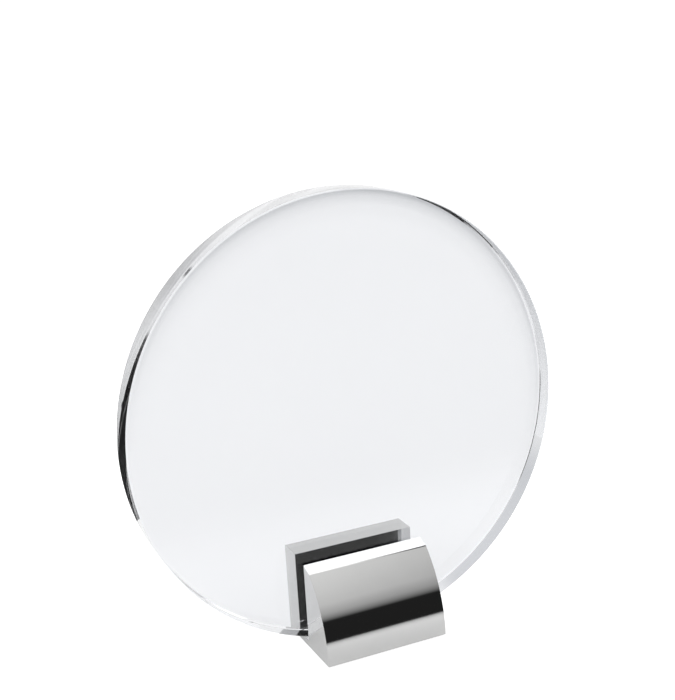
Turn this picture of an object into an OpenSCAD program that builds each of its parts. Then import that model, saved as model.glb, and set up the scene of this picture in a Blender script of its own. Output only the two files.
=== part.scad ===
// Countertop mirror: a thick clear disc that stands in a two-piece polished clamp base.
// Millimetres, +Z up, front towards -Y. The origin is under the middle of the base, on the counter.

/* [Disc] */
// Diameter of the clear disc
disc_d = 200; // [160:1:250]
// Thickness of the disc
disc_t = 15; // [10:0.5:20]
// Polished chamfer round both rims
disc_chamfer = 0.6; // [0.2:0.1:1.5]
// How far the flat under the disc stops short of each side of the base
flat_margin = 4; // [2:0.5:8]

/* [Jaws] */
// Width of the base, left to right
base_w = 57; // [48:1:80]
// Height of the front jaw, without the pad
front_h = 39; // [32:0.5:55]
// Depth of the front jaw at its foot
front_foot = 22; // [18:0.5:32]
// Depth of the front jaw at its top
front_top = 6; // [3:0.5:8]
// How far the front jaw's top falls from its back edge to its front edge
top_fall = 2; // [0.5:0.25:4]
// Rounding of the front jaw's top front edge
top_round = 1.5; // [0.5:0.1:2.5]
// Height of the rear jaw, without the pad
rear_h = 40.5; // [32:0.5:55]
// Thickness of the rear jaw's upright
rear_t = 12; // [9.5:0.5:18]
// Thickness of the web that joins the jaws under the disc
web_t = 3; // [2.5:0.1:5]

/* [Tongue and joining screws] */
// How far the tongue stops short of each side of the base
tongue_margin = 11; // [8:0.5:16]
// Length of the tongue under the front jaw
tongue_len = 13; // [11:0.5:14]
// Distance between the two joining screws
joining_pitch = 20; // [14:0.5:24]
// Thread diameter of a joining screw
joining_d = 3; // [2.5:0.5:3]
// Length of a joining screw, head included
joining_len = 10; // [8:1:14]

/* [Clamp screws] */
// Distance between the two clamp screws
clamp_pitch = 30; // [24:1:36]
// Height of the clamp screws above the slot floor
clamp_rise = 19; // [14:0.5:24]
// Thread diameter of a clamp screw
clamp_d = 6; // [5:1:6]
// Length of a soft pressure pad in front of its screw
pressure_len = 3; // [2:0.5:4]
// Depth of a clamp screw's head below the back of the base
clamp_sunk = 1; // [0.5:0.25:2]
// Hexagon socket of a clamp screw, across its flats
clamp_key = 3; // [2.5:0.5:3]

/* [Linings and pad] */
// Thickness of the clear strips that line the slot
liner_t = 0.4; // [0.2:0.1:0.8]
// How far the strips stop short of the jaws' edges
liner_margin = 2; // [1:0.5:4]
// Thickness of the non-slip pad under the base
pad_t = 1.5; // [1:0.1:2]
// How far the pad stands proud of the metal
pad_proud = 0.5; // [0.3:0.1:1]
// How far the pad stops short of the base's edges
pad_margin = 3; // [2:0.5:6]

/* [Hidden] */
$fn = 96;
seat_gap = 0.02;      // between the disc and the strips that it rests on
slide_gap = 0.15;     // between the disc and the rear jaw
fit_gap = 0.05;       // round the tongue, the pad and every screw
over = 1;             // how far a cut runs past the face that it opens
socket_depth = 2.6;   // of a clamp screw's hexagon
mouth_chamfer = 0.5;  // at the mouth of a clamp screw's bore
joining_key = 2;      // joining screw's hexagon, across its flats
joining_key_depth = 0.9;
thread_chamfer = 0.5; // at the end of each screw
pressure_d = clamp_d - 0.2;

// Heights
metal_z = pad_proud;
floor_z = metal_z + web_t;
flat_z = floor_z + liner_t + seat_gap;
flat_w = base_w - 2 * flat_margin;
disc_r = disc_d / 2;
disc_z = flat_z + sqrt(disc_r * disc_r - flat_w * flat_w / 4);
clamp_z = floor_z + clamp_rise;
recess_z = pad_t;

// Depths, from the front toe to the back of the base
slot_w = liner_t + seat_gap + disc_t + slide_gap;
base_depth = front_foot + slot_w + rear_t;
toe_y = -base_depth / 2;
slot_front_y = toe_y + front_foot;
slot_back_y = slot_front_y + slot_w;
back_y = base_depth / 2;
disc_front_y = slot_front_y + liner_t + seat_gap;
disc_back_y = disc_front_y + disc_t;

// The front jaw's profile, as [y, z] points: an arc stands upright on the foot and leans back to the top
lean = front_foot - front_top;
arc_h = front_h - top_fall;
front_r = (lean * lean + arc_h * arc_h) / (2 * lean);
arc_centre = [toe_y + front_r, metal_z];

// The top falls gently from the slot to the arc
top_angle = atan(top_fall / front_top);
top_back = [slot_front_y, metal_z + front_h];
top_forward = [-cos(top_angle), -sin(top_angle)];
top_up = [-sin(top_angle), cos(top_angle)];

// The rounding touches the top and the arc, so its centre lies one radius inside both
round_drop = (arc_centre - top_back) * top_up + top_round;
round_centre = arc_centre - round_drop * top_up
    + sqrt(pow(front_r - top_round, 2) - round_drop * round_drop) * top_forward;
round_out = (round_centre - arc_centre) / (front_r - top_round);

// Tongue, screws and pads
tongue_w = base_w - 2 * tongue_margin;
joining_y = slot_front_y - tongue_len / 2;
joining_head_r = joining_d * 0.9;
joining_head_h = joining_head_r - joining_d / 2;
pressure_y = disc_back_y + seat_gap;
clamp_y = pressure_y + pressure_len + seat_gap;
clamp_len = back_y - clamp_sunk - clamp_y;

// A box from one corner to the opposite one
module block(low, high) {
    translate(low) cube(high - low);
}

// A hexagonal prism along +Z, measured across its flats
module hexagon(across, height) {
    cylinder(d = across / cos(30), h = height, $fn = 6);
}

// Turns a shape made along +Z so that it runs towards the back
module facing_back() {
    rotate([-90, 0, 0]) children();
}

// The recess that both jaws share for the pad
module pad_space(gap) {
    block([-base_w / 2 + pad_margin - gap, toe_y + pad_margin - gap, metal_z - over],
        [base_w / 2 - pad_margin + gap, back_y - pad_margin + gap, recess_z]);
}

// The tongue under the front jaw, or its place with a gap round it
module tongue_space(gap) {
    block([-tongue_w / 2 - gap, slot_front_y - tongue_len - gap, metal_z - gap],
        [tongue_w / 2 + gap, slot_front_y + over, floor_z + gap]);
}

module disc() {
    color([0.93, 0.95, 0.96, 0.35])
    difference() {
        translate([0, disc_front_y, disc_z]) facing_back()
            rotate_extrude($fn = 256) polygon([[0, 0], [disc_r - disc_chamfer, 0],
                [disc_r, disc_chamfer], [disc_r, disc_t - disc_chamfer],
                [disc_r - disc_chamfer, disc_t], [0, disc_t]]);
        // the flat that stops it rolling in the slot
        block([-disc_r, disc_front_y - over, flat_z - disc_r],
            [disc_r, disc_back_y + over, flat_z]);
    }
}

// Extrudes a [y, z] outline along the whole width of the base
module across_base() {
    translate([-base_w / 2 - over, 0, 0]) rotate([90, 0, 90])
        linear_extrude(base_w + 2 * over) children();
}

// What is cut away above the front jaw's sloping top
module above_top() {
    low = top_back - over * top_forward;
    far = top_back + front_foot * top_forward;
    polygon([low, far, far + front_h * top_up, low + front_h * top_up]);
}

// What the rounding takes off the edge between the top and the arc
module off_edge() {
    translate(round_centre) difference() {
        polygon([[0, 0], 2 * top_round * top_up, 2 * top_round * (top_up + round_out), 2 * top_round * round_out]);
        circle(r = top_round);
    }
}

module front_jaw() {
    color([0.72, 0.72, 0.71])
    difference() {
        intersection() {
            block([-base_w / 2, toe_y, metal_z], [base_w / 2, slot_front_y, metal_z + front_h]);
            across_base() translate(arc_centre) circle(r = front_r, $fn = 256);
        }
        across_base() above_top();
        across_base() off_edge();
        tongue_space(fit_gap);
        pad_space(fit_gap);
        for (side = [-1, 1]) translate([side * joining_pitch / 2, joining_y, recess_z])
            cylinder(d = joining_d + 2 * fit_gap, h = joining_len + over);
    }
}

module rear_jaw() {
    color([0.72, 0.72, 0.71])
    difference() {
        union() {
            block([-base_w / 2, slot_back_y, metal_z], [base_w / 2, back_y, metal_z + rear_h]);
            block([-base_w / 2, slot_front_y + fit_gap, metal_z], [base_w / 2, slot_back_y + over, floor_z]);
            tongue_space(0);
        }
        pad_space(fit_gap);
        for (side = [-1, 1]) {
            translate([side * joining_pitch / 2, joining_y, recess_z]) joining_cut();
            translate([side * clamp_pitch / 2, slot_back_y - over, clamp_z]) facing_back()
                cylinder(d = clamp_d + 2 * fit_gap, h = rear_t + 2 * over);
            translate([side * clamp_pitch / 2, back_y - mouth_chamfer, clamp_z]) facing_back()
                cylinder(r1 = clamp_d / 2 + fit_gap, r2 = clamp_d / 2 + fit_gap + mouth_chamfer + over,
                    h = mouth_chamfer + over);
        }
    }
}

// Countersunk hole for a joining screw, from the recess upwards
module joining_cut() {
    translate([0, 0, -over]) cylinder(r = joining_head_r + fit_gap, h = over);
    cylinder(r1 = joining_head_r + fit_gap, r2 = joining_d / 2 + fit_gap, h = joining_head_h);
    cylinder(r = joining_d / 2 + fit_gap, h = web_t + over);
}

module joining_screw(side) {
    color([0.6, 0.6, 0.6])
    translate([side * joining_pitch / 2, joining_y, recess_z])
        difference() {
            union() {
                cylinder(r1 = joining_head_r, r2 = joining_d / 2, h = joining_head_h);
                cylinder(d = joining_d, h = joining_len - thread_chamfer);
                translate([0, 0, joining_len - thread_chamfer])
                    cylinder(r1 = joining_d / 2, r2 = joining_d / 2 - thread_chamfer, h = thread_chamfer);
            }
            translate([0, 0, -over]) hexagon(joining_key, joining_key_depth + over);
        }
}

module clamp_screw(side) {
    color([0.35, 0.35, 0.36])
    translate([side * clamp_pitch / 2, clamp_y, clamp_z]) facing_back()
        difference() {
            union() {
                cylinder(r1 = clamp_d / 2 - thread_chamfer, r2 = clamp_d / 2, h = thread_chamfer);
                translate([0, 0, thread_chamfer]) cylinder(d = clamp_d, h = clamp_len - thread_chamfer);
            }
            translate([0, 0, clamp_len - socket_depth]) hexagon(clamp_key, socket_depth + over);
        }
}

module pressure_pad(side) {
    color([0.9, 0.9, 0.86])
    translate([side * clamp_pitch / 2, pressure_y, clamp_z]) facing_back()
        cylinder(d = pressure_d, h = pressure_len);
}

module front_liner() {
    color([0.85, 0.87, 0.88, 0.5])
    block([-base_w / 2 + liner_margin, slot_front_y, floor_z + liner_t + seat_gap],
        [base_w / 2 - liner_margin, slot_front_y + liner_t, metal_z + front_h - liner_margin]);
}

module floor_liner() {
    color([0.85, 0.87, 0.88, 0.5])
    block([-flat_w / 2 + liner_margin, slot_front_y + liner_t, floor_z],
        [flat_w / 2 - liner_margin, slot_back_y - slide_gap, floor_z + liner_t]);
}

module base_pad() {
    color([0.12, 0.12, 0.12])
    block([-base_w / 2 + pad_margin, toe_y + pad_margin, 0],
        [base_w / 2 - pad_margin, back_y - pad_margin, pad_t]);
}

disc();
front_jaw();
rear_jaw();
front_liner();
floor_liner();
base_pad();
joining_screw(-1);  // joining_screw_left
joining_screw(1);  // joining_screw_right
clamp_screw(-1);  // clamp_screw_left
clamp_screw(1);  // clamp_screw_right
pressure_pad(-1);  // pressure_pad_left
pressure_pad(1);  // pressure_pad_right
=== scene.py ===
# %% [markdown]
# # A clear disc in a chrome clamp base
#
# This lesson dresses a small counter piece: a thick clear disc that stands upright in a polished metal
# base. The construction is already made and is loaded as a fixed frame. What is left is how each piece
# looks: where its edges catch the light, what it is made of, and the studio that it reflects.
# Polished things have no colour of their own to speak of, so the studio matters as much as the materials.

# %% Load the frame
import math

import bmesh
import bpy
from mathutils import Matrix, Vector


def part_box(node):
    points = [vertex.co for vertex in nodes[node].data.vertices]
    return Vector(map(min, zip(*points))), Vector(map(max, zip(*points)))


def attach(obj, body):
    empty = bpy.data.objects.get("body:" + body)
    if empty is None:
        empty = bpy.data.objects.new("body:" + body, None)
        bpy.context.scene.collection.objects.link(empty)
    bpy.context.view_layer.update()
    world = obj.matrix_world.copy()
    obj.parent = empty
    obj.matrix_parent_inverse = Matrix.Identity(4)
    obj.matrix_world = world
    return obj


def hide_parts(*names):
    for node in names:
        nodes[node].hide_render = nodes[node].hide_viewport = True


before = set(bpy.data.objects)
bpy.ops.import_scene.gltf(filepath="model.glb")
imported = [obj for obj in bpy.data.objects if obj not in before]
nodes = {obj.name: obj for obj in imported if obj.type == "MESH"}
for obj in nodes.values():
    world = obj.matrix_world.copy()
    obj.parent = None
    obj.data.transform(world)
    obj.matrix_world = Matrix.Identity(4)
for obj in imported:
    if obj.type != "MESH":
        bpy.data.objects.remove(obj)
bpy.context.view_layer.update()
disc_low, disc_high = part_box("disc")
print("pieces in the frame:", ", ".join(sorted(nodes)))

# %% [markdown]
# ## Shader maths as plain Python
#
# A procedural material is a small calculation that runs at each point of a surface. Written with raw nodes
# it is long and hard to read. The class below wraps one output socket, so that `1 - mask * 0.5` adds the
# Math nodes by itself. Every other kind of node comes from its one method `node`, which takes the type,
# the settings, and what goes into its sockets.

# %% The wire class
class Wire:
    """One output socket of a shader tree. Arithmetic on it adds Math nodes."""

    def __init__(self, tree, socket=None):
        self.tree = tree
        self.socket = socket

    def node(self, kind, settings=None, sockets=None, out=0):
        """Adds a node. Settings are set first, and 'stops' fills a colour ramp."""
        made = self.tree.nodes.new(kind)
        for name, value in (settings or {}).items():
            if name == "stops":
                fill_ramp(made.color_ramp, value)
            else:
                setattr(made, name, value)
        for name, value in (sockets or {}).items():
            if isinstance(value, Wire):
                self.tree.links.new(value.socket, made.inputs[name])
            else:
                made.inputs[name].default_value = value
        return Wire(self.tree, made.outputs[out]) if made.outputs else None

    def maths(self, operation, first, second=0.0):
        return self.node("ShaderNodeMath", {"operation": operation}, {0: first, 1: second})

    def __add__(self, other):
        return self.maths("ADD", self, other)

    __radd__ = __add__

    def __mul__(self, other):
        return self.maths("MULTIPLY", self, other)

    __rmul__ = __mul__

    def __sub__(self, other):
        return self.maths("SUBTRACT", self, other)

    def __rsub__(self, other):
        return self.maths("SUBTRACT", other, self)

    def mix(self, first, second):
        """Blends two colours, with this value as the share of the second."""
        return self.node("ShaderNodeMix", {"data_type": "RGBA"}, {0: self, 6: first, 7: second}, out=2)


def grey(tone):
    """A neutral colour."""
    return (tone, tone, tone, 1)


def fill_ramp(ramp, stops):
    """Stops are pairs of a place and a grey."""
    while len(ramp.elements) < len(stops):
        ramp.elements.new(1.0)
    for element, (place, tone) in zip(ramp.elements, stops):
        element.position = place
        element.color = grey(tone)


print("a wire understands + - * and mix")

# %% [markdown]
# ## Helpers for every material
#
# `start` opens an empty material and `surface` closes it with one Principled shader. What is the same all
# over the piece is typed on the shader's own socket. Only what changes over the surface is a wire.
# Object coordinates are used throughout, so a pattern stays on its piece when the piece moves. The other
# helpers give a place on the piece, a soft step between two values, cloudy noise and fine relief.

# %% Material helpers
def start(name):
    """An empty material and a bare wire to draw on."""
    material = bpy.data.materials.new(name)
    material.use_nodes = True
    material.node_tree.nodes.clear()
    return material, Wire(material.node_tree)


def surface(material, wire, sockets):
    """Ends the material with a Principled shader."""
    shader = wire.node("ShaderNodeBsdfPrincipled", sockets=sockets)
    wire.node("ShaderNodeOutputMaterial", sockets={"Surface": shader})
    print("made", material.name)
    return material


def axes(wire, space="Object"):
    """Three wires: how far right, how far back and how high a point or a direction is."""
    split = wire.node("ShaderNodeSeparateXYZ", sockets={0: wire.node("ShaderNodeTexCoord", out=space)})
    return [Wire(wire.tree, output) for output in split.socket.node.outputs]


def between(value, low, high):
    """A soft step: 0 below `low`, 1 above `high`."""
    return value.node("ShaderNodeMapRange", {"interpolation_type": "SMOOTHSTEP"}, {
        "Value": value, "From Min": low, "From Max": high, "To Min": 0.0, "To Max": 1.0,
    })


def noise(wire, size, detail=2.0, stretch=(1, 1, 1)):
    """Cloudy noise whose blotches are about `size` metres across."""
    place = wire.node("ShaderNodeTexCoord", out="Object")
    scaled = wire.node("ShaderNodeMapping", sockets={"Vector": place, "Scale": stretch})
    return wire.node("ShaderNodeTexNoise", sockets={"Vector": scaled, "Scale": 1 / size, "Detail": detail})


def bump(wire, height, depth):
    """Turns a height between 0 and 1 into relief `depth` metres deep."""
    return wire.node("ShaderNodeBump", sockets={"Height": height, "Distance": depth, "Strength": 1.0})


# %% [markdown]
# ## Clear acrylic
#
# The disc is cast acrylic with a flame-polished rim. It bends light about as much as glass does. A
# transmission shader on a closed solid does most of the work: the dark and bright crescents in the rim are
# real total reflections of the room, not paint. Thick sheet takes some light away and is faintly cool, so
# the colour is a pale blue grey. Just inside the upper edge the disc has a soft shade, which is the one
# thing that is drawn: a ramp over the distance from the centre, stronger towards the top. A breath of
# noise in the colour and the roughness keeps the sheet from being perfect.

# %% Acrylic
ACRYLIC_TINT = (0.836, 0.843, 0.861, 1)
ACRYLIC_PALE = (0.847, 0.855, 0.870, 1)
ACRYLIC_SHADE = (0.45, 0.46, 0.48, 1)
ACRYLIC_INDEX = 1.50
SHADE_STOPS = [(0.86, 0.0), (0.93, 0.12), (0.97, 0.45), (0.991, 1.0), (0.9955, 0.0)]
disc_radius = round((disc_high.x - disc_low.x) / 2, 4)
disc_centre_z = disc_high.z - disc_radius


def make_acrylic():
    material, wire = start("clear_cast_acrylic")
    across, _, height = axes(wire)
    rise = (height - disc_centre_z) * (1 / disc_radius)
    side = across * (1 / disc_radius)
    radius = wire.maths("SQRT", rise * rise + side * side)
    edge = wire.node("ShaderNodeValToRGB", {"stops": SHADE_STOPS}, {"Fac": radius})
    upper = between(rise + 0.25 * side, -0.4, 0.9)
    haze = noise(wire, 0.06)
    tint = haze.mix(ACRYLIC_TINT, ACRYLIC_PALE)
    return surface(material, wire, {
        "Base Color": (edge * upper).mix(tint, ACRYLIC_SHADE),
        "Roughness": 0.004 * haze,
        "IOR": ACRYLIC_INDEX,
        "Transmission Weight": 1.0,
    })


acrylic = make_acrylic()

# %% [markdown]
# ## Polished chrome
#
# Both jaws are ground, polished and chromed. Chrome reflects about two thirds of the light with a
# neutral tone. Under the shine there are still the grinding lines, which run along the base, and a faint
# cloudiness. Both go into the roughness, and the lines into a very shallow bump, because in the colour they
# would look like dirt. Polished metal is far smoother than it seems, so the relief is only a few hundredths
# of a micrometre deep.

# %% Chrome
POLISH_DEPTH = 0.00000003


def make_chrome():
    material, wire = start("polished_chrome")
    clouds = noise(wire, 0.012, detail=3.0)
    lines = noise(wire, 0.0007, detail=1.0, stretch=(0.02, 1, 1))
    tone = clouds.mix((0.60, 0.60, 0.595, 1), (0.64, 0.64, 0.635, 1))
    return surface(material, wire, {
        "Base Color": tone,
        "Metallic": 1.0,
        "Roughness": 0.035 + 0.012 * clouds + 0.002 * lines,
        "Normal": bump(wire, lines, POLISH_DEPTH),
    })


chrome = make_chrome()

# %% [markdown]
# ## The pieces that do the quiet work
#
# Strips of clear film line the slot, nylon pads press on the disc, plated screws hold the base together
# and a rubber pad grips the counter. They are small, but each has its own feel: the film is slightly
# milky, the nylon waxy, the steel has turning marks and the rubber a fine grain.

# %% Film, nylon, steel and rubber
def make_film():
    material, wire = start("clear_film")
    haze = noise(wire, 0.004)
    return surface(material, wire, {
        "Base Color": haze.mix((0.93, 0.95, 0.96, 1), (0.97, 0.98, 0.985, 1)),
        "Roughness": 0.08 + 0.1 * haze,
        "IOR": 1.45,
        "Transmission Weight": 0.9,
    })


def make_nylon():
    material, wire = start("natural_nylon")
    haze = noise(wire, 0.002)
    return surface(material, wire, {
        "Base Color": haze.mix((0.80, 0.78, 0.70, 1), (0.88, 0.87, 0.81, 1)),
        "Roughness": 0.42 + 0.12 * haze,
        "Subsurface Weight": 0.2,
        "Subsurface Scale": 0.001,
    })


def make_steel():
    material, wire = start("plated_screw_steel")
    wear = noise(wire, 0.0012, detail=4.0)
    return surface(material, wire, {
        "Base Color": wear.mix((0.34, 0.34, 0.35, 1), (0.55, 0.55, 0.54, 1)),
        "Metallic": 1.0,
        "Roughness": 0.24 + 0.22 * wear,
        "Normal": bump(wire, wear, 0.00001),
    })


def make_rubber():
    material, wire = start("black_rubber")
    grain = noise(wire, 0.0005, detail=3.0)
    patches = noise(wire, 0.01)
    return surface(material, wire, {
        "Base Color": patches.mix((0.012, 0.012, 0.012, 1), (0.035, 0.034, 0.033, 1)),
        "Roughness": 0.62 + 0.25 * grain,
        "Normal": bump(wire, grain, 0.00005),
    })


film, nylon, steel, rubber = make_film(), make_nylon(), make_steel(), make_rubber()

# %% [markdown]
# ## The disc as a turned piece
#
# The frame's disc is a measured solid with coarse facets round its rim. A clear rim magnifies every facet,
# so the disc is modelled again at the same size, with fine steps. It has four outlines: the edge of the
# front face, the two sides of the rim, and the edge of the back face. The chamfers lie between a face and
# the rim. Each outline ends where its circle meets the flat, so the flat stays a true plane.

# %% Disc outline
CHAMFER = 0.0006
RIM_STEPS = 720
SHARP_FROM = math.radians(20)


def disc_outline(radius, depth):
    """Points of one outline, from the flat's right end over the top to its left end."""
    drop = math.asin((disc_low.z - disc_centre_z) / radius)
    turn = (math.pi - 2 * drop) / RIM_STEPS
    angles = [drop + turn * step for step in range(RIM_STEPS + 1)]
    return [(radius * math.cos(a), depth, disc_centre_z + radius * math.sin(a)) for a in angles]


outlines = [
    disc_outline(disc_radius - CHAMFER, disc_low.y),
    disc_outline(disc_radius, disc_low.y + CHAMFER),
    disc_outline(disc_radius, disc_high.y - CHAMFER),
    disc_outline(disc_radius - CHAMFER, disc_high.y),
]
print("disc outline:", len(outlines), "rings of", RIM_STEPS + 1, "points, radius", disc_radius)

# %% [markdown]
# ## Joining the outlines
#
# Strips of faces join each outline to the next, and the front, the back and the flat are closed by one
# large face each. Shading is smooth along the rim and sharp at the chamfers, as a polished edge looks. The
# disc could also be a cylinder cut by a box, but a cut leaves uneven points on a rim that has to be perfect.
# It hangs from an empty for the disc's body, and the frame's disc is hidden, so it takes its place.

# %% Disc mesh
def build_disc():
    """One closed solid: two faces, a rim with two chamfers, and the flat."""
    mesh = bmesh.new()
    rings = [[mesh.verts.new(point) for point in outline] for outline in outlines]
    mesh.faces.new(rings[0])
    mesh.faces.new(reversed(rings[-1]))
    for near, far in zip(rings, rings[1:]):
        for i in range(RIM_STEPS):
            mesh.faces.new((near[i + 1], near[i], far[i], far[i + 1]))
    mesh.faces.new([ring[0] for ring in rings] + [ring[-1] for ring in reversed(rings)])
    bmesh.ops.recalc_face_normals(mesh, faces=mesh.faces)
    data = bpy.data.meshes.new("clear_disc")
    mesh.to_mesh(data)
    mesh.free()
    data.shade_smooth()
    data.set_sharp_from_angle(angle=SHARP_FROM)
    made = bpy.data.objects.new("clear_disc", data)
    bpy.context.scene.collection.objects.link(made)
    return made


clear_disc = build_disc()
clear_disc.data.materials.append(acrylic)
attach(clear_disc, "disc")
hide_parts("disc")
print("clear disc has", len(clear_disc.data.polygons), "faces")

# %% [markdown]
# ## Dressing the frame's own pieces
#
# The jaws, strips, screws and pads already have the right shape, so they only take a finish. The chrome
# edges stay crisp. A small bevel would be the usual choice, but on the imported mesh it disturbs the smooth
# shading of the curved front, where every ripple shows in the reflection.

# %% Finishes
FINISHES = {
    "front_jaw": chrome,
    "rear_jaw": chrome,
    "front_liner": film,
    "floor_liner": film,
    "base_pad": rubber,
    "joining_screw_left": steel,
    "joining_screw_right": steel,
    "clamp_screw_left": steel,
    "clamp_screw_right": steel,
    "pressure_pad_left": nylon,
    "pressure_pad_right": nylon,
}
for name, finish in FINISHES.items():
    for slot in nodes[name].material_slots:
        slot.material = finish
print("finished", len(FINISHES), "pieces")

# %% [markdown]
# ## The studio
#
# Polished metal and clear plastic show only their surroundings, so the room is drawn with care. The object
# stands on a white table that ends a short way in front of it. Beyond the table's edge it is dark, with
# grey light above, and that dark stretch is the black band on the curved jaw. Behind the object the room is
# white, with a bright softbox high on the right and two black cards on the left.
#
# The room is not the same for every ray, which is the one trick in it. A real studio is arranged for hours
# until the rim of a clear disc looks right. Here light that has turned many times inside the rim may see
# other brightnesses than the rest. The Light Path node tells which ray is asking. Its depth is the number
# of turns so far, and the sky counts one more than a surface does.

# %% Which ray is asking
STRAIGHT_TURNS = 3.5
DEEP_TURNS = 5.5
FIRST_TURNS = 1.5


def asking(wire, name):
    """One output of the Light Path node."""
    return wire.node("ShaderNodeLightPath", out=name)


def seen_plainly(wire):
    """1 for what is seen directly or straight through the disc."""
    few_turns = wire.maths("LESS_THAN", asking(wire, "Ray Depth"), STRAIGHT_TURNS)
    straight = asking(wire, "Is Transmission Ray") * few_turns
    return wire.maths("MAXIMUM", asking(wire, "Is Camera Ray"), straight)


def deep_inside(wire):
    """1 for light that has turned many times inside the disc."""
    many_turns = wire.maths("GREATER_THAN", asking(wire, "Ray Depth"), DEEP_TURNS)
    return asking(wire, "Is Transmission Ray") * many_turns


def first_turn(wire):
    """1 for the first reflection."""
    return wire.maths("LESS_THAN", asking(wire, "Ray Depth"), FIRST_TURNS)


print("rays sorted by turns:", FIRST_TURNS, STRAIGHT_TURNS, DEEP_TURNS)

# %% [markdown]
# ## The white table
#
# The table top is matt white and glows a little, as if soft light came from all round. Where it is seen
# directly it glows more, which washes out the shadow and leaves pure white paper. Its front edge is
# soft: the sheet fades out over about a hand's width, and the dark beyond it shows. A sheet without an edge
# would have been simpler, but then the black band on the curved jaw would start higher and be thinner.

# %% Table
TABLE_GLOW = 0.37
TABLE_GLOW_SEEN = 2.1
TABLE_ENDS = -0.190
TABLE_FULL = -0.068
TABLE_REACH = 6


def add_sheet(name, corners, material):
    """A flat stage piece that belongs to the studio, not to the object."""
    data = bpy.data.meshes.new(name)
    data.from_pydata(corners, [], [(0, 1, 2, 3)])
    data.materials.append(material)
    made = bpy.data.objects.new(name, data)
    bpy.context.scene.collection.objects.link(made)
    return made


def make_table():
    material, wire = start("white_floor")
    _, depth, _ = axes(wire)
    mottle = noise(wire, 0.5)
    return surface(material, wire, {
        "Base Color": mottle.mix(grey(0.80), grey(0.82)),
        "Roughness": 0.9,
        "Specular IOR Level": 0.0,
        "Emission Color": asking(wire, "Is Camera Ray").mix(grey(1), grey(TABLE_GLOW_SEEN)),
        "Emission Strength": TABLE_GLOW,
        "Alpha": between(depth, TABLE_ENDS, TABLE_FULL) * (1 - deep_inside(wire)),
    })


add_sheet("studio_floor", [
    (-TABLE_REACH, -TABLE_REACH, 0),
    (TABLE_REACH, -TABLE_REACH, 0),
    (TABLE_REACH, TABLE_REACH, 0),
    (-TABLE_REACH, TABLE_REACH, 0),
], make_table())
print("table laid, fading out from", TABLE_FULL, "to", TABLE_ENDS, "m in front")

# %% [markdown]
# ## Two black cards
#
# In a studio, black cards are put beside clear things to draw their edges. These two are covered with felt
# and are behind the disc on the left. One lies on the table, and one stands at its far end and fades
# towards its top. Only first reflections see them, so they darken the outer side of the rim and leave
# the view through the disc clean.

# %% Black cards
CARD_LEFT, CARD_RIGHT = -0.60, -0.02
CARD_FRONT, CARD_BACK = 0.16, 0.90
CARD_LIFT, CARD_TOP = 0.001, 0.33
FADE_FROM, FADE_SHARE = 0.10, 0.85


def make_felt():
    material, wire = start("black_felt")
    _, _, height = axes(wire)
    fibres = noise(wire, 0.002)
    fade = FADE_SHARE * between(height, FADE_FROM, CARD_TOP)
    return surface(material, wire, {
        "Base Color": fibres.mix((0.010, 0.010, 0.011, 1), (0.022, 0.022, 0.024, 1)),
        "Roughness": 0.95,
        "Specular IOR Level": 0.1,
        "Alpha": first_turn(wire) * (1 - fade),
    })


felt = make_felt()
lying_card = add_sheet("black_card_low", [
    (CARD_LEFT, CARD_FRONT, CARD_LIFT),
    (CARD_RIGHT, CARD_FRONT, CARD_LIFT),
    (CARD_RIGHT, CARD_BACK, CARD_LIFT),
    (CARD_LEFT, CARD_BACK, CARD_LIFT),
], felt)
standing_card = add_sheet("black_card_upright", [
    (CARD_LEFT, CARD_BACK, 0),
    (CARD_RIGHT, CARD_BACK, 0),
    (CARD_RIGHT, CARD_BACK, CARD_TOP),
    (CARD_LEFT, CARD_BACK, CARD_TOP),
], felt)
for card in (lying_card, standing_card):
    card.visible_camera = False
    card.visible_diffuse = False
    card.visible_transmission = False
    card.visible_shadow = False
    print("placed", card.name)

# %% [markdown]
# ## The sky that reflections see
#
# A sky gives a brightness to each looking direction. A ramp over the height is enough for most of it: in
# front it is dark up to well above the horizon and then turns to grey and white, and behind it is white
# all the way. On top of that come a greyer part behind on the left, the softbox behind on the right, and
# a dark gap high on the right, between the front light and the back light.

# %% Sky in front and behind
FRONT_STOPS = [
    (0.0, 0.02), (0.632, 0.02), (0.660, 0.30), (0.692, 0.54), (0.76, 0.80), (0.92, 1.0), (1.0, 1.0)]
BACK_STOPS = [(0.0, 1.05), (0.70, 1.05), (0.82, 1.1), (1.0, 1.1)]
SOFTBOX = 2.6
DARK_GAP = 0.03


def by_height(height, stops):
    """A grey for each height, from straight down at 0 to straight up at 1."""
    return height.node("ShaderNodeValToRGB", {"stops": stops}, {"Fac": height * 0.5 + 0.5})


def sky_in_front(sideways, height):
    """Dark near the horizon and light above, a little darker on the far right."""
    far_right = 0.30 * between(sideways, 0.30, 0.50)
    return far_right.mix(by_height(height, FRONT_STOPS), grey(0.02))


def sky_behind(sideways, height):
    """White, greyer on the left, with the softbox high on the right."""
    left = (1 - between(sideways, -0.15, 0.05)) * between(height, -0.05, 0.20)
    softbox = between(sideways, 0.10, 0.25) * between(height, 0.60, 0.75)
    return softbox.mix(left.mix(by_height(height, BACK_STOPS), (0.74, 0.75, 0.77, 1)), grey(SOFTBOX))


def gap_between_lights(sideways, depth, height):
    """1 in the dark gap high on the right."""
    narrow = between(depth, -0.36, -0.20) * (1 - between(depth, 0.20, 0.32))
    return narrow * between(sideways, 0.34, 0.42) * between(height, 0.7, 0.85)


print("front ramp with", len(FRONT_STOPS), "stops, back ramp with", len(BACK_STOPS))

# %% [markdown]
# ## The sky that the rim sees
#
# Light in the left rim turns ten times and more before it leaves the disc low on the right. What comes
# from the inner side of the rim leaves towards the back. There a wide black stretch about the horizon
# makes the crescent, and a thin dark line below it makes the small mark above the crescent. What comes
# from the outer side leaves towards the front on the right, where it stays light.

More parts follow.
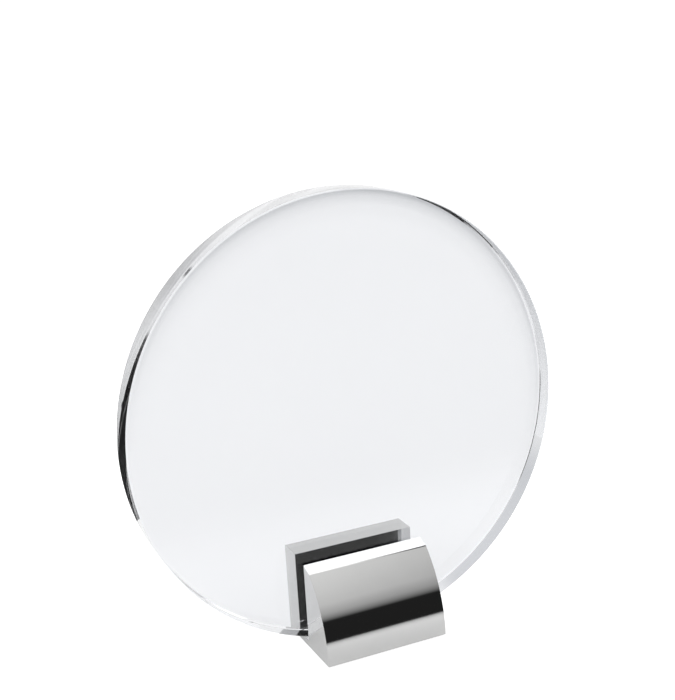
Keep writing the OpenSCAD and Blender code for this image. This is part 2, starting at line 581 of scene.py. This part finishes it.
# %% Sky for the rim
DEEP_BACK_STOPS = [
    (0.0, 0.95), (0.33, 1.1), (0.360, 1.0), (0.363, 0.10), (0.367, 0.10), (0.370, 1.0), (0.425, 0.95),
    (0.433, 0.012), (0.682, 0.012), (0.70, 0.95), (1.0, 1.2)]
DEEP_LEFT_STOPS = [(0.0, 0.80), (0.45, 0.80), (0.47, 0.02), (0.62, 0.02), (0.66, 0.70), (1.0, 0.9)]
DEEP_RIGHT_STOPS = [
    (0.0, 0.90), (0.30, 0.85), (0.38, 0.66), (0.42, 0.90), (0.45, 1.10), (0.52, 1.20), (0.60, 1.1),
    (1.0, 0.95)]


def sky_for_the_rim(sideways, height, behind):
    """What light sees after many turns inside the disc."""
    right = between(sideways, -0.05, 0.05)
    front = right.mix(by_height(height, DEEP_LEFT_STOPS), by_height(height, DEEP_RIGHT_STOPS))
    return behind.mix(front, by_height(height, DEEP_BACK_STOPS))


print("rim ramps with", len(DEEP_BACK_STOPS), len(DEEP_LEFT_STOPS), len(DEEP_RIGHT_STOPS), "stops")

# %% [markdown]
# ## Hanging the sky
#
# The parts are now blended: front into back, the gap over both, and the rim's own sky for deep light. What
# is seen directly, or straight through the disc, is plain paper white, as bright as the table, so that no
# horizon shows.

# %% Sky
PAPER_WHITE = 1.09


def build_sky():
    world = bpy.data.worlds.new("studio_sky")
    bpy.context.scene.world = world
    world.use_nodes = True
    world.node_tree.nodes.clear()
    wire = Wire(world.node_tree)
    sideways, depth, height = axes(wire, "Generated")
    behind = between(depth, -0.30, 0.15)
    lights = behind.mix(sky_in_front(sideways, height), sky_behind(sideways, height))
    room = gap_between_lights(sideways, depth, height).mix(lights, grey(DARK_GAP))
    studio = deep_inside(wire).mix(room, sky_for_the_rim(sideways, height, behind))
    colour = seen_plainly(wire).mix(studio, grey(PAPER_WHITE))
    background = wire.node("ShaderNodeBackground", sockets={"Color": colour, "Strength": 1.0})
    wire.node("ShaderNodeOutputWorld", sockets={"Surface": background})


build_sky()
print("sky hung, paper white at", PAPER_WHITE)

# %% [markdown]
# ## The camera
#
# The camera looks from the front left and a little above. It is placed by the direction that it looks
# from, by its distance, and by how far its axis passes to the right of the base and above it. The lens
# is slightly long, and the frame is slid sideways a little, as a shift lens does. Light goes round in a
# clear rim for many turns, so the renderer is allowed that many, or the rim would turn a flat grey.

# %% Camera
AZIMUTH, ELEVATION, ROLL = (math.radians(a) for a in (-26.6, 15.06, -2.53))
DISTANCE, AIM_RIGHT, AIM_UP = 0.5795, 0.02175, 0.12736
SENSOR, LENS, SHIFT_X = 36.0, 65.76, -0.1107
LIGHT_TURNS = 48


def build_camera():
    data = bpy.data.cameras.new("camera")
    data.sensor_width = SENSOR
    data.lens = LENS
    data.shift_x = SHIFT_X
    made = bpy.data.objects.new("camera", data)
    bpy.context.scene.collection.objects.link(made)
    back = Vector((
        math.sin(AZIMUTH) * math.cos(ELEVATION),
        -math.cos(AZIMUTH) * math.cos(ELEVATION),
        math.sin(ELEVATION),
    ))
    level = Vector((0, 0, 1)).cross(back).normalized()
    rise = back.cross(level)
    right = math.cos(ROLL) * level + math.sin(ROLL) * rise
    up = math.cos(ROLL) * rise - math.sin(ROLL) * level
    foot = Vector((0, disc_low.y, 0))
    spot = foot + AIM_RIGHT * right + AIM_UP * up + DISTANCE * back
    made.matrix_world = Matrix.Translation(spot) @ Matrix((right, up, back)).transposed().to_4x4()
    bpy.context.scene.camera = made
    return spot


print("camera stands at", [round(v, 3) for v in build_camera()])
bpy.context.scene.view_settings.view_transform = "Standard"
for limit in ("max_bounces", "transmission_bounces", "glossy_bounces"):
    setattr(bpy.context.scene.cycles, limit, LIGHT_TURNS)
